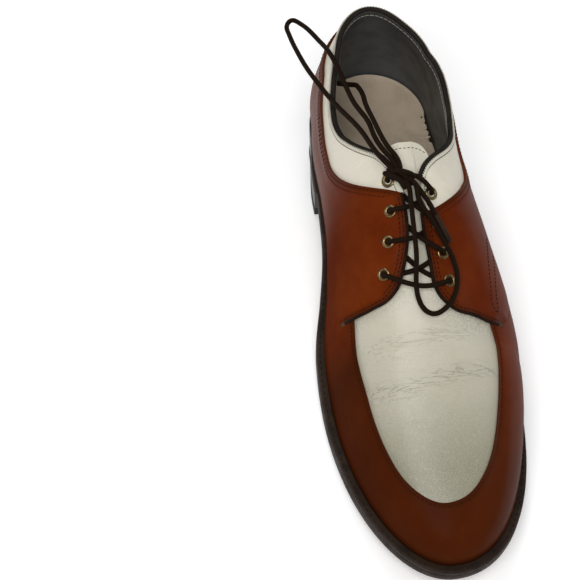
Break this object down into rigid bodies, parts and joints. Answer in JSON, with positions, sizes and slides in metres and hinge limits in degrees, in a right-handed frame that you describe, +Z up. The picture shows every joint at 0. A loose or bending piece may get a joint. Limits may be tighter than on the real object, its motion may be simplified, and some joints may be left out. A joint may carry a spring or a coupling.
{
  "type": "derby shoe",
  "caption": "Right-foot two-tone derby shoe with an apron front, brown leather over a pale plug and collar band, brass eyelets and a dark lace tied in a bow.",
  "frame": {"origin": "centre of the shoe's box on the floor, without the free lace", "axes": "+Z up, +Y from toe to heel, +X towards the inner side of the right foot"},
  "size_m": [0.104, 0.3018, 0.1114],
  "materials": {
    "brown_leather": "smooth, polished",
    "pale_leather": "grained, creased",
    "lining": "matt",
    "sock": "matt, worn",
    "sole_leather": "waxed edge",
    "heel_stack": "waxed",
    "rubber": "matt",
    "brass": "dull",
    "lace": "waxed",
    "thread": "matt"
  },
  "bodies": {
    "root": {"heel_stack": "heel_stack", "top_lift": "rubber", "outsole": "sole_leather", "welt": "sole_leather", "insole": "sock", "upper": "pale_leather", "apron_wing": "brown_leather", "quarter_lateral": "brown_leather", "quarter_medial": "brown_leather", "collar_band": "pale_leather", "tongue": "pale_leather", "eyelet_lateral_1": "brass", "eyelet_lateral_2": "brass", "eyelet_lateral_3": "brass", "eyelet_lateral_4": "brass", "eyelet_medial_1": "brass", "eyelet_medial_2": "brass", "eyelet_medial_3": "brass", "eyelet_medial_4": "brass", "lace_bar_2": "lace", "lace_bar_3": "lace", "lace_bar_4": "lace", "lace_cross": "lace", "lace_strand_lateral": "lace", "lace_strand_medial": "lace", "lace_knot": "lace", "lace_loop_lateral": "lace", "lace_end_lateral": "lace", "lace_tip_lateral": "lace", "lace_loop_medial": "lace", "lace_end_medial": "lace", "lace_tip_medial": "lace"}
  },
  "joints": []
}
